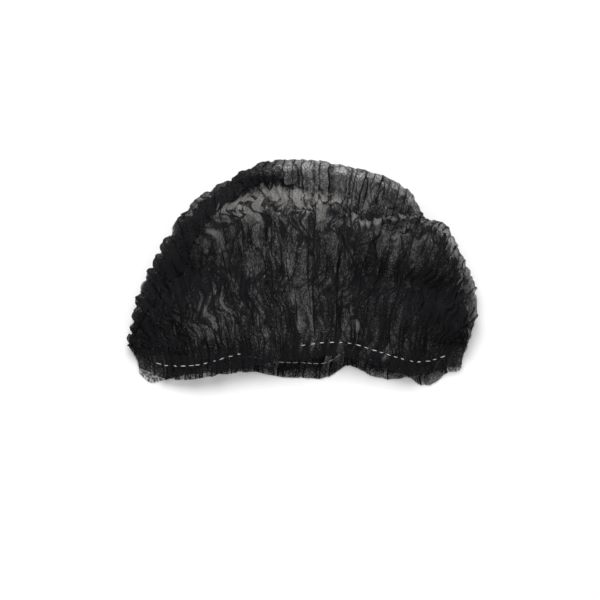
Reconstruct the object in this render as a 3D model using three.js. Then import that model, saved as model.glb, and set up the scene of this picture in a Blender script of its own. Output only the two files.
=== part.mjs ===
// A pleated nonwoven bouffant cap, opened out and lying on its back sheet.
// Millimetres. X runs from end to end of the cap, Y from the mouth to the crest, Z up from the table.
import * as THREE from "three";

// Overall sizes
const capWidth = 262; // from the left end to the right end
const capDepth = 170; // from the lowest point of the hem to the top of the crest
const capHeight = 56; // from the table to the top of the belly

// The fabric and its gathers
const wall = 1.2; // one sheet, with the fuzz of its fibres
const gatherCount = 44; // pleats along each rim
const gatherDepth = 3.0; // from the bottom of a pleat to its top
const gatherVariation = 0.3; // share by which the pleats differ from each other
const backGather = 0.5; // share of gatherDepth left on the back sheet, which the table flattens
const puffCount = 17; // wider swellings that take two or three pleats each
const puffDepth = 3.0;

// The rims
const rimDepth = 19; // from the hem's edge to the crown
const hemWidth = 11; // from the hem's edge to the elastic
const hemDroop = 5; // how far the hem of the front rim hangs below its inner edge
const mouthHeight = 20; // rise of the front rim above the back rim, in the middle
const elasticDiameter = 1.4;
const endTabThickness = 2.0;
const endTabReach = 0.9; // its share of the rim's depth

const clearance = 0.3; // between pieces that touch

// One row for each section, from the left end to the right. The hem and crest columns are shares of
// planWidth from the middle and of planDepth from the front. loft and mouth are shares of the belly's
// and the mouth's full height.
const sections = [
  { hemX: -0.467, frontHemY: 0.079, backHemY: 0.053, crestX: -0.498, crestY: 0.171, loft: 0.16, mouth: 0.0 },
  { hemX: -0.435, frontHemY: 0.057, backHemY: 0.013, crestX: -0.49, crestY: 0.259, loft: 0.3, mouth: 0.08 },
  { hemX: -0.39, frontHemY: 0.026, backHemY: 0.026, crestX: -0.473, crestY: 0.382, loft: 0.5, mouth: 0.24 },
  { hemX: -0.332, frontHemY: 0.018, backHemY: 0.044, crestX: -0.441, crestY: 0.491, loft: 0.72, mouth: 0.44 },
  { hemX: -0.275, frontHemY: 0.026, backHemY: 0.053, crestX: -0.393, crestY: 0.614, loft: 0.86, mouth: 0.62 },
  { hemX: -0.212, frontHemY: 0.053, backHemY: 0.053, crestX: -0.321, crestY: 0.772, loft: 0.94, mouth: 0.76 },
  { hemX: -0.144, frontHemY: 0.079, backHemY: 0.061, crestX: -0.215, crestY: 0.89, loft: 0.98, mouth: 0.88 },
  { hemX: -0.072, frontHemY: 0.092, backHemY: 0.039, crestX: -0.109, crestY: 0.982, loft: 1.0, mouth: 0.96 },
  { hemX: -0.001, frontHemY: 0.105, backHemY: 0.035, crestX: 0.005, crestY: 0.998, loft: 1.0, mouth: 1.0 },
  { hemX: 0.068, frontHemY: 0.118, backHemY: 0.035, crestX: 0.117, crestY: 0.969, loft: 1.0, mouth: 1.0 },
  { hemX: 0.134, frontHemY: 0.114, backHemY: 0.088, crestX: 0.225, crestY: 0.925, loft: 0.93, mouth: 0.96 },
  { hemX: 0.194, frontHemY: 0.088, backHemY: 0.048, crestX: 0.308, crestY: 0.851, loft: 0.9, mouth: 0.84 },
  { hemX: 0.251, frontHemY: 0.061, backHemY: 0.026, crestX: 0.351, crestY: 0.724, loft: 0.84, mouth: 0.68 },
  { hemX: 0.303, frontHemY: 0.039, backHemY: 0.035, crestX: 0.411, crestY: 0.684, loft: 0.84, mouth: 0.5 },
  { hemX: 0.348, frontHemY: 0.039, backHemY: 0.0, crestX: 0.46, crestY: 0.561, loft: 0.74, mouth: 0.34 },
  { hemX: 0.386, frontHemY: 0.057, backHemY: 0.018, crestX: 0.492, crestY: 0.452, loft: 0.6, mouth: 0.22 },
  { hemX: 0.417, frontHemY: 0.075, backHemY: 0.057, crestX: 0.5, crestY: 0.342, loft: 0.46, mouth: 0.12 },
  { hemX: 0.446, frontHemY: 0.079, backHemY: 0.061, crestX: 0.492, crestY: 0.272, loft: 0.3, mouth: 0.05 },
  { hemX: 0.457, frontHemY: 0.096, backHemY: 0.079, crestX: 0.472, crestY: 0.171, loft: 0.16, mouth: 0.0 },
];

// One row for each line of the crown that runs from end to end, from the front rim over the crest to
// the back rim. along is the share of the way from the rim to the crest, rise the share of the loft,
// rim the share of the mouth's height that is left there, gather the share of gatherDepth and puff
// the share of puffDepth. The rows that rest are flat on the table.
const stations = [
  { side: "front", along: 0.0, rise: 0.0, rim: 1.0, gather: 0.9, puff: 0.2 },
  { side: "front", along: 0.07, rise: 0.17, rim: 0.93, gather: 1.0, puff: 0.4 },
  { side: "front", along: 0.16, rise: 0.4, rim: 0.74, gather: 1.0, puff: 0.7 },
  { side: "front", along: 0.27, rise: 0.64, rim: 0.5, gather: 0.95, puff: 0.9 },
  { side: "front", along: 0.39, rise: 0.83, rim: 0.25, gather: 0.9, puff: 1.0 },
  { side: "front", along: 0.51, rise: 0.95, rim: 0.05, gather: 0.85, puff: 1.0 },
  { side: "front", along: 0.62, rise: 1.0, rim: 0.0, gather: 0.85, puff: 1.0 },
  { side: "front", along: 0.72, rise: 0.98, rim: 0.0, gather: 0.85, puff: 1.0 },
  { side: "front", along: 0.81, rise: 0.91, rim: 0.0, gather: 0.85, puff: 1.0 },
  { side: "front", along: 0.89, rise: 0.77, rim: 0.0, gather: 0.85, puff: 1.0 },
  { side: "front", along: 0.95, rise: 0.58, rim: 0.0, gather: 0.9, puff: 1.0 },
  { side: "front", along: 0.985, rise: 0.38, rim: 0.0, gather: 0.9, puff: 1.0 },
  { side: "front", along: 1.0, rise: 0.22, rim: 0.0, gather: 0.9, puff: 1.0 },
  { side: "back", along: 0.985, rise: 0.09, rim: 0.0, gather: 0.7, puff: 0.7 },
  { side: "back", along: 0.95, rise: 0.02, rim: 0.0, gather: 0.5, puff: 0.3 },
  { side: "back", along: 0.88, rise: 0.0, rim: 0.0, gather: 0.4, puff: 0.0, rests: true },
  { side: "back", along: 0.76, rise: 0.0, rim: 0.0, gather: 0.5, puff: 0.0, rests: true },
  { side: "back", along: 0.6, rise: 0.0, rim: 0.0, gather: 0.5, puff: 0.0, rests: true },
  { side: "back", along: 0.44, rise: 0.0, rim: 0.0, gather: 0.5, puff: 0.0, rests: true },
  { side: "back", along: 0.28, rise: 0.0, rim: 0.0, gather: 0.5, puff: 0.0, rests: true },
  { side: "back", along: 0.13, rise: 0.0, rim: 0.0, gather: 0.5, puff: 0.0, rests: true },
  { side: "back", along: 0.0, rise: 0.0, rim: 0.0, gather: 0.5, puff: 0.0, rests: true },
];

// Long soft folds of the front sheet, each along a line whose ends are shares of planWidth from the
// middle and of planDepth from the front. drop is the share of the local height that it takes away
// (a ridge where it is negative), and reach its half width as a share of planDepth.
const folds = [
  { name: "crest valley", fromX: -0.17, fromY: 0.86, toX: 0.35, toY: 0.71, drop: 0.36, reach: 0.06 },
  { name: "left band valley", fromX: -0.45, fromY: 0.42, toX: -0.12, toY: 0.55, drop: 0.26, reach: 0.07 },
  { name: "right valley", fromX: 0.12, fromY: 0.46, toX: 0.48, toY: 0.38, drop: 0.3, reach: 0.06 },
  { name: "ruched ridge", fromX: 0.14, fromY: 0.63, toX: 0.38, toY: 0.6, drop: -0.08, reach: 0.06 },
  { name: "left corner tuck", fromX: -0.47, fromY: 0.24, toX: -0.3, toY: 0.2, drop: 0.25, reach: 0.05 },
  { name: "belly dimple", fromX: -0.02, fromY: 0.44, toX: 0.02, toY: 0.36, drop: 0.2, reach: 0.07 },
];

// How the ribs of a sheet run from hem to crest: they leave the hem square to it, and turn outward
// at the knee.
const ribLean = 0.18;
const ribKnee = 0.6;

const columns = 2 * gatherCount;
const foldedSheet = wall + gatherDepth; // height that one gathered sheet takes
const planWidth = capWidth - foldedSheet; // between the middles of the sheet at the two ends
const planDepth = capDepth - foldedSheet / 2;
const backSheet = wall + backGather * gatherDepth; // height of the back sheet, under the cap
const lowestBack = backSheet / 2;
const lowestFront = backSheet + elasticDiameter + 2 * clearance + foldedSheet / 2;
const bellyLoft = capHeight - lowestFront - foldedSheet / 2;

// The rows of a rim, as shares of its depth: the hem's edge, the middle of the hem, the line of the
// elastic and the edge at the crown.
const rimRows = [0, hemWidth / rimDepth / 2, hemWidth / rimDepth, 1];
const elasticRow = 2;
const rimRibShare = 0.5; // most of a short rib that the rim may take, at the ends of the cap
const endTabSections = 2; // sections at each end that have the flat tab in place of the back rim
const endTabShare = endTabSections / (sections.length - 1);

// Lines of the sections

// A smooth line through two columns of the section table, in plan.
function planCurve(columnX, columnY) {
  const points = sections.map((row) => new THREE.Vector2(row[columnX] * planWidth, row[columnY] * planDepth));
  return new THREE.SplineCurve(points);
}

// The loft and the mouth's share as one smooth line.
const shareCurve = new THREE.SplineCurve(sections.map((row) => new THREE.Vector2(row.loft, row.mouth)));
const hemLines = {
  front: planCurve("hemX", "frontHemY"),
  back: planCurve("hemX", "backHemY"),
};
const crestLine = planCurve("crestX", "crestY");

// The plan line of one rib of a sheet, from its hem to the crest. across runs from 0 at the left end
// of the cap to 1 at the right end.
function ribCurve(side, across) {
  const hem = hemLines[side].getPoint(across);
  const crest = crestLine.getPoint(across);
  const knee = new THREE.Vector2(
    THREE.MathUtils.lerp(hem.x, crest.x, ribLean),
    THREE.MathUtils.lerp(hem.y, crest.y, ribKnee),
  );
  return new THREE.QuadraticBezierCurve(hem, knee, crest);
}

// How much of a rib the rim takes.
function rimReach(rib) {
  return Math.min(rimDepth, rimRibShare * rib.getLength());
}

// The share of the height that the long folds leave at a plan point.
function foldShare(point) {
  const place = new THREE.Vector3(point.x, point.y, 0);
  let share = 1;
  for (const fold of folds) {
    const line = new THREE.Line3(
      new THREE.Vector3(fold.fromX * planWidth, fold.fromY * planDepth, 0),
      new THREE.Vector3(fold.toX * planWidth, fold.toY * planDepth, 0),
    );
    const away = line.closestPointToPoint(place, true, new THREE.Vector3()).distanceTo(place);
    share *= 1 - fold.drop * Math.exp(-((away / (fold.reach * planDepth)) ** 2));
  }
  return share;
}

// Rows of the whole cap

// A point of the front rim's middle surface, at a share of the rim's depth from the hem's edge.
function frontRimPoint(across, share) {
  const rib = ribCurve("front", across);
  const plan = rib.getPointAt((share * rimReach(rib)) / rib.getLength());
  const mouth = shareCurve.getPoint(across).y;
  const height = lowestFront + mouth * (mouthHeight - hemDroop * (1 - share));
  return new THREE.Vector3(plan.x, plan.y, height);
}

// A point of the back rim's middle surface, at a share of the rim's depth from the hem's edge.
function backRimPoint(across, share) {
  const rib = ribCurve("back", across);
  const plan = rib.getPointAt((share * rimReach(rib)) / rib.getLength());
  return new THREE.Vector3(plan.x, plan.y, lowestBack);
}

// A point of the crown's middle surface, on one of its stations.
function crownPoint(across, station) {
  const rib = ribCurve(station.side, across);
  const length = rib.getLength();
  const plan = rib.getPointAt(THREE.MathUtils.lerp(rimReach(rib) + clearance, length, station.along) / length);
  const share = shareCurve.getPoint(across);
  const loft = station.rise * share.x * bellyLoft * foldShare(plan);
  const lowest = station.side === "front" ? lowestFront : lowestBack;
  return new THREE.Vector3(plan.x, plan.y, lowest + loft + station.rim * share.y * mouthHeight);
}

// The cap's rows, from the hem of the front rim over the crown to the hem of the back rim.
const rows = [
  ...rimRows.map((share) => ({ piece: "front_rim", gather: 1, point: (across) => frontRimPoint(across, share) })),
  ...stations.map((station) => ({
    piece: "crown",
    gather: station.gather,
    puff: station.puff,
    rests: station.rests,
    point: (across) => crownPoint(across, station),
  })),
  ...rimRows.toReversed().map((share) => ({
    piece: "back_rim",
    gather: backGather,
    rests: true,
    point: (across) => backRimPoint(across, share),
  })),
];

// Points and outward normals of the cap's middle surface, without its pleats.
const base = [];
for (let column = 0; column <= columns; column++) {
  base.push(rows.map((row) => row.point(column / columns)));
}
const normals = base.map((_, column) => rows.map((_, row) => baseNormal(column, row)));

// The normal at a point, from its neighbours. The two rows on either side of a seam share one normal,
// so that their edges stay parallel.
function baseNormal(column, row) {
  const isSeam = (first) => rows[first] && rows[first + 1] && rows[first].piece !== rows[first + 1].piece;
  const before = Math.max(0, isSeam(row - 1) ? row - 2 : row - 1);
  const after = Math.min(rows.length - 1, isSeam(row) ? row + 2 : row + 1);
  const left = Math.max(0, column - 1);
  const right = Math.min(columns, column + 1);
  const across = new THREE.Vector3().subVectors(base[right][row], base[left][row]);
  const along = new THREE.Vector3().subVectors(base[column][after], base[column][before]);
  return across.cross(along).normalize();
}

// Pleats

// Pleats stand out of the middle surface on even columns and into it on odd ones. They differ from
// each other by a slow wave that doesn't repeat in step with them.
function pleatOffset(column, row) {
  const side = column % 2 === 0 ? 1 : -1;
  const size = 1 - (gatherVariation / 2) * (1 + Math.sin(2.3 * column + 0.4 * row));
  return (side * size * rows[row].gather * gatherDepth) / 2;
}

// The wider swellings of the front sheet and of the crest.
function puffOffset(column, row) {
  const wave = Math.sin((2 * Math.PI * puffCount * column) / columns + 0.25 * row);
  return (puffDepth / 2) * (rows[row].puff ?? 0) * (wave - 1);
}

// A grid of the points of some columns and rows, moved out of the pleated surface by a distance.
function pleatedGrid(columnList, rowList, distance) {
  return columnList.map((column) =>
    rowList.map((row) => {
      const offset = pleatOffset(column, row) + puffOffset(column, row) + distance;
      const point = base[column][row].clone().addScaledVector(normals[column][row], offset);
      if (rows[row].rests && distance > 0) point.z = 0;
      return point;
    }),
  );
}

// The numbers of the columns between two shares of the cap's width.
function columnsBetween(first, last) {
  const list = [...Array(columns + 1).keys()];
  return list.filter((column) => column >= first * columns && column <= last * columns);
}

// The numbers of the rows of a piece.
function rowsOf(piece) {
  return [...rows.keys()].filter((row) => rows[row].piece === piece);
}

// Skins

// Collects triangles of shared vertices into a geometry.
class Skin {
  constructor() {
    this.positions = [];
    this.faces = [];
  }
  // Adds the points of a grid, and gives back the grid of their numbers.
  addPoints(grid) {
    return grid.map((points) =>
      points.map((point) => {
        this.positions.push(point.x, point.y, point.z);
        return this.positions.length / 3 - 1;
      }),
    );
  }
  addFace(corners) {
    for (let corner = 1; corner + 1 < corners.length; corner++) {
      this.faces.push(corners[0], corners[corner], corners[corner + 1]);
    }
  }
  // Fills a grid of numbers, with faces that look out of its normals or, flipped, against them.
  addGrid(ids, flipped) {
    for (let column = 0; column + 1 < ids.length; column++) {
      this.addStrip(ids[column], ids[column + 1], flipped);
    }
  }
  // Joins two lines of numbers.
  addStrip(one, other, flipped = false) {
    for (let step = 0; step + 1 < one.length; step++) {
      const corners = [one[step], other[step], other[step + 1], one[step + 1]];
      this.addFace(flipped ? corners.reverse() : corners);
    }
  }
  geometry() {
    const made = new THREE.BufferGeometry();
    made.setAttribute("position", new THREE.Float32BufferAttribute(this.positions, 3));
    made.setIndex(this.faces);
    made.computeVertexNormals();
    return made;
  }
}

// A plate between two grids of the same size.
function plateGeometry(outer, inner) {
  const skin = new Skin();
  const outside = skin.addPoints(outer);
  const inside = skin.addPoints(inner);
  skin.addGrid(outside, false);
  skin.addGrid(inside, true);
  skin.addStrip(outside[0], inside[0], true);
  skin.addStrip(outside.at(-1), inside.at(-1));
  for (const [row, flipped] of [[0, false], [-1, true]]) {
    skin.addStrip(outside.map((line) => line.at(row)), inside.map((line) => line.at(row)), flipped);
  }
  return skin.geometry();
}

// Crown

// The crown has an outer skin and, two columns in from each end, an inner one. Each is closed at its
// ends by a wall between its front and back rows, and the two are joined round the mouth.
const endColumns = 2;

function crownGeometry() {
  const crownRows = rowsOf("crown");
  const allColumns = columnsBetween(0, 1);
  const innerColumns = allColumns.slice(endColumns, -endColumns);
  const skin = new Skin();
  const outside = skin.addPoints(pleatedGrid(allColumns, crownRows, wall / 2));
  const inside = skin.addPoints(pleatedGrid(innerColumns, crownRows, -wall / 2));
  skin.addGrid(outside, false);
  skin.addGrid(inside, true);
  addEndWall(skin, outside[0], false);
  addEndWall(skin, outside.at(-1), true);
  addEndWall(skin, inside[0], true);
  addEndWall(skin, inside.at(-1), false);
  addMouthEdge(skin, outside, inside, 0);
  addMouthEdge(skin, outside, inside, crownRows.length - 1);
  skin.addFace([inside[0][0], outside[0][0], outside[0].at(-1), inside[0].at(-1)]);
  skin.addFace([outside.at(-1)[0], inside.at(-1)[0], inside.at(-1).at(-1), outside.at(-1).at(-1)]);
  return skin.geometry();
}

// A wall across one end of the crown, between the rows of its front and of its back.
function addEndWall(skin, line, flipped) {
  const half = line.length / 2;
  skin.addStrip(line.slice(0, half), line.slice(half).reverse(), !flipped);
}

// One edge of the mouth, between the outer skin and the shorter inner one.
function addMouthEdge(skin, outside, inside, row) {
  const front = row === 0;
  const outerEdge = outside.map((line) => line[row]);
  const innerEdge = inside.map((line) => line[row]);
  const add = (corners) => skin.addFace(front ? corners : corners.reverse());
  for (let step = 0; step < endColumns; step++) {
    const far = outerEdge.length - 1 - step;
    add([innerEdge[0], outerEdge[step + 1], outerEdge[step]]);
    add([innerEdge.at(-1), outerEdge[far], outerEdge[far - 1]]);
  }
  for (let step = 0; step + 1 < innerEdge.length; step++) {
    add([innerEdge[step], innerEdge[step + 1], outerEdge[step + endColumns + 1], outerEdge[step + endColumns]]);
  }
}

// Rims and elastics

function rimGeometry(piece, first, last) {
  const columnList = columnsBetween(first, last);
  const rowList = rowsOf(piece);
  return plateGeometry(
    pleatedGrid(columnList, rowList, wall / 2),
    pleatedGrid(columnList, rowList, -wall / 2),
  );
}

// An elastic runs over the tops of a rim's pleats: over the outer ones of the front rim, and over the
// inner ones of the back rim, whose outer side lies on the table.
function elasticGeometry(piece, first, last) {
  const front = piece === "front_rim";
  const rowList = rowsOf(piece);
  const row = front ? rowList[elasticRow] : rowList.at(-1 - elasticRow);
  const tops = columnsBetween(first, last).filter((column) => (column % 2 === 0) === front);
  const lift = (front ? 1 : -1) * ((wall + elasticDiameter) / 2 + clearance);
  const points = tops.map((column) => {
    return base[column][row].clone().addScaledVector(normals[column][row], pleatOffset(column, row) + lift);
  });
  const outline = new THREE.Shape();
  outline.absarc(0, 0, elasticDiameter / 2, 0, 2 * Math.PI, false);
  return new THREE.ExtrudeGeometry(outline, {
    steps: points.length - 1,
    curveSegments: 4,
    extrudePath: new THREE.CatmullRomCurve3(points),
  });
}

// End tabs

// The flat welded end of the strip, lying on the table beside the end of the back rim.
function endTabGeometry(first, last) {
  const steps = [0, 0.25, 0.5, 0.75, 1];
  const bottom = steps.map((step) => {
    const across = THREE.MathUtils.lerp(first, last, step);
    return rimRows.map((share) => backRimPoint(across, share * endTabReach).setZ(0));
  });
  const top = bottom.map((points) => points.map((point) => point.clone().setZ(endTabThickness)));
  return plateGeometry(top, bottom);
}

// Assembly

const fabric = new THREE.MeshStandardMaterial({ color: 0x17171a, roughness: 0.9, metalness: 0 });
const elastic = new THREE.MeshStandardMaterial({ color: 0xe6e4dd, roughness: 0.7, metalness: 0 });

const cap = new THREE.Group();

function addPiece(name, geometry, material) {
  const piece = new THREE.Mesh(geometry, material);
  piece.name = name;
  cap.add(piece);
}

const tabGap = clearance / capWidth;

addPiece("crown", crownGeometry(), fabric);
addPiece("front_rim", rimGeometry("front_rim", 0, 1), fabric);
addPiece("back_rim", rimGeometry("back_rim", endTabShare, 1 - endTabShare), fabric);
addPiece("front_elastic", elasticGeometry("front_rim", 0, 1), elastic);
addPiece("back_elastic", elasticGeometry("back_rim", endTabShare, 1 - endTabShare), elastic);
addPiece("left_end_tab", endTabGeometry(0, endTabShare - tabGap), fabric);
addPiece("right_end_tab", endTabGeometry(1 - endTabShare + tabGap, 1), fabric);

// The origin is below the middle of the cap, on the table.
const middle = new THREE.Box3().setFromObject(cap).getCenter(new THREE.Vector3());
for (const piece of cap.children) {
  piece.geometry.translate(-middle.x, -middle.y, 0);
}

export default cap;
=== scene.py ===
"""A pleated nonwoven bouffant cap, opened out and lying on a white table.

The cap is one thin sheet from the hem of the front rim over the crest to the hem of the back rim.
Its middle surface follows the solid part. Each row of cloth is then laid along that surface as a
line that is longer than it, so the spare length stands up in folds. Lengths are millimetres, and
become metres when a mesh is made.
"""

import math

import bpy
import numpy as np
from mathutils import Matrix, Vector


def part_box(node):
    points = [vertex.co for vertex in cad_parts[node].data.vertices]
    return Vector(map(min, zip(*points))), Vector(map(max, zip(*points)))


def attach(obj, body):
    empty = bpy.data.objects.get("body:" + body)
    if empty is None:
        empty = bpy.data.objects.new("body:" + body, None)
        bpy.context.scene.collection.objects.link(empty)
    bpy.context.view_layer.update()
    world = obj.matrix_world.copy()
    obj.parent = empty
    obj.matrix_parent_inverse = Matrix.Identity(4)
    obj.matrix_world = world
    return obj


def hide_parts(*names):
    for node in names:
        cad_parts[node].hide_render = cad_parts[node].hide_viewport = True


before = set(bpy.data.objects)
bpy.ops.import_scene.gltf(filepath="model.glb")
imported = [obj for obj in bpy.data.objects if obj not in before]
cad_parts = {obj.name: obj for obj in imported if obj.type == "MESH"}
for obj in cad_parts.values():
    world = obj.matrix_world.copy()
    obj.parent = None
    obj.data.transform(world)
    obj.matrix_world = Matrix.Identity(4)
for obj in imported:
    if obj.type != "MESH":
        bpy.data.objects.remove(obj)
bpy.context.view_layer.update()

MM = 0.001

# Sizes of the cap, as in the solid part
CAP_WIDTH = 262.0
CAP_DEPTH = 170.0
CAP_HEIGHT = 56.0
SHEET_WALL = 1.2
GATHER_DEPTH = 3.0
BACK_GATHER = 0.5
ELASTIC_DIAMETER = 1.4
GAP = 0.3
RIM_DEPTH = 19.0
RIM_PUFF = 0.2
HEM_WIDTH = 11.0
HEM_DROOP = 5.0
MOUTH_HEIGHT = 20.0
RIM_RIB_SHARE = 0.5
RIB_LEAN = 0.18
RIB_KNEE = 0.6
RIB_POINTS = 65
PUFF_COUNT = 17
PUFF_DEPTH = 3.0

FOLDED_SHEET = SHEET_WALL + GATHER_DEPTH
BACK_SHEET = SHEET_WALL + BACK_GATHER * GATHER_DEPTH
LOWEST_BACK = BACK_SHEET / 2
LOWEST_FRONT = BACK_SHEET + ELASTIC_DIAMETER + 2 * GAP + FOLDED_SHEET / 2
BELLY_LOFT = CAP_HEIGHT - LOWEST_FRONT - FOLDED_SHEET / 2
PLAN_WIDTH = CAP_WIDTH - FOLDED_SHEET
PLAN_DEPTH = CAP_DEPTH - FOLDED_SHEET / 2

# The back sheet comes down to the table this many times faster than its rows go by.
BACK_DROP = 9

# The cloth before it was gathered
CLOTH_WIDTH = 530.0
CLOTH_COLUMNS = 800
PLEATS = 66

# Sections from the left end to the right end: hem and crest as shares of the plan, loft and mouth as
# shares of the full heights.
SECTION_COLUMNS = ("hem_x", "front_hem_y", "back_hem_y", "crest_x", "crest_y", "loft", "mouth")
SECTIONS = (
    (-0.467, 0.079, 0.053, -0.498, 0.171, 0.16, 0.0),
    (-0.435, 0.057, 0.013, -0.49, 0.259, 0.3, 0.08),
    (-0.39, 0.026, 0.026, -0.473, 0.382, 0.5, 0.24),
    (-0.332, 0.018, 0.044, -0.441, 0.491, 0.72, 0.44),
    (-0.275, 0.026, 0.053, -0.393, 0.614, 0.86, 0.62),
    (-0.212, 0.053, 0.053, -0.321, 0.772, 0.94, 0.76),
    (-0.144, 0.079, 0.061, -0.215, 0.89, 0.98, 0.88),
    (-0.072, 0.092, 0.039, -0.109, 0.982, 1.0, 0.96),
    (-0.001, 0.105, 0.035, 0.005, 0.998, 1.0, 1.0),
    (0.068, 0.118, 0.035, 0.117, 0.969, 1.0, 1.0),
    (0.134, 0.114, 0.088, 0.225, 0.925, 0.93, 0.96),
    (0.194, 0.088, 0.048, 0.308, 0.851, 0.9, 0.84),
    (0.251, 0.061, 0.026, 0.351, 0.724, 0.84, 0.68),
    (0.303, 0.039, 0.035, 0.411, 0.684, 0.84, 0.5),
    (0.348, 0.039, 0.0, 0.46, 0.561, 0.74, 0.34),
    (0.386, 0.057, 0.018, 0.492, 0.452, 0.6, 0.22),
    (0.417, 0.075, 0.057, 0.5, 0.342, 0.46, 0.12),
    (0.446, 0.079, 0.061, 0.492, 0.272, 0.3, 0.05),
    (0.457, 0.096, 0.079, 0.472, 0.171, 0.16, 0.0),
)

# Lines of the crown, from the front rim over the crest to the back rim.
STATION_COLUMNS = ("along", "rise", "rim", "puff")
FRONT_STATIONS = (
    (0.0, 0.0, 1.0, 0.2),
    (0.07, 0.17, 0.93, 0.4),
    (0.16, 0.4, 0.74, 0.7),
    (0.27, 0.64, 0.5, 0.9),
    (0.39, 0.83, 0.25, 1.0),
    (0.51, 0.95, 0.05, 1.0),
    (0.62, 1.0, 0.0, 1.0),
    (0.72, 0.98, 0.0, 1.0),
    (0.81, 0.91, 0.0, 1.0),
    (0.89, 0.77, 0.0, 1.0),
    (0.95, 0.58, 0.0, 1.0),
    (0.985, 0.38, 0.0, 1.0),
    (1.0, 0.22, 0.0, 1.0),
)
BACK_STATIONS = (
    (1.0, 0.22, 0.0, 1.0),
    (0.985, 0.09, 0.0, 0.7),
    (0.95, 0.02, 0.0, 0.3),
    (0.88, 0.0, 0.0, 0.0),
    (0.76, 0.0, 0.0, 0.0),
    (0.6, 0.0, 0.0, 0.0),
    (0.44, 0.0, 0.0, 0.0),
    (0.28, 0.0, 0.0, 0.0),
    (0.13, 0.0, 0.0, 0.0),
    (0.0, 0.0, 0.0, 0.0),
)

# Long soft folds of the front sheet: two ends in plan shares, drop of the local height, half width.
FOLDS = (
    (-0.17, 0.86, 0.35, 0.71, 0.36, 0.06),
    (-0.45, 0.42, -0.12, 0.55, 0.26, 0.07),
    (0.12, 0.46, 0.48, 0.38, 0.3, 0.06),
    (0.14, 0.63, 0.38, 0.6, -0.08, 0.06),
    (-0.47, 0.24, -0.3, 0.2, 0.25, 0.05),
    (-0.02, 0.44, 0.02, 0.36, 0.2, 0.07),
)

# The crosswise tuck of the front sheet, from the left end to the right end. The cloth runs up its ribs
# to the outer share, back to the inner share and up again to the crest. Over is 1 where the last layer
# lies on top and -1 where the first one does. Last is how many times denser the last layer is.
TUCK_COLUMNS = ("across", "inner", "outer", "over", "last")
TUCK = (
    (0.0, 0.6, 0.75, 1.0, 2.6),
    (0.12, 0.62, 0.85, 1.0, 2.8),
    (0.18, 0.66, 0.9, 1.0, 3.0),
    (0.25, 0.67, 0.93, 1.0, 3.0),
    (0.29, 0.75, 0.95, 1.0, 3.0),
    (0.33, 0.81, 0.96, 1.0, 3.0),
    (0.37, 0.86, 0.95, 1.0, 2.5),
    (0.4, 0.84, 0.89, 0.8, 1.6),
    (0.43, 0.79, 0.82, 0.0, 1.1),
    (0.47, 0.75, 0.78, -1.0, 0.8),
    (0.51, 0.74, 0.78, -1.0, 0.8),
    (0.53, 0.64, 0.68, -1.0, 0.9),
    (0.56, 0.62, 0.66, -1.0, 0.9),
    (0.61, 0.72, 0.77, -1.0, 0.9),
    (0.65, 0.88, 0.93, -1.0, 1.0),
    (0.7, 0.86, 0.92, -1.0, 1.0),
    (0.78, 0.8, 0.86, -1.0, 0.9),
    (0.84, 0.67, 0.75, -1.0, 0.9),
    (0.89, 0.55, 0.62, -1.0, 0.9),
    (1.0, 0.4, 0.48, -1.0, 1.0),
)
TUCK_LAYER_GAP = 1.1
TUCK_RAGGED = 0.017
TUCK_SLOPE = 14.0

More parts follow.
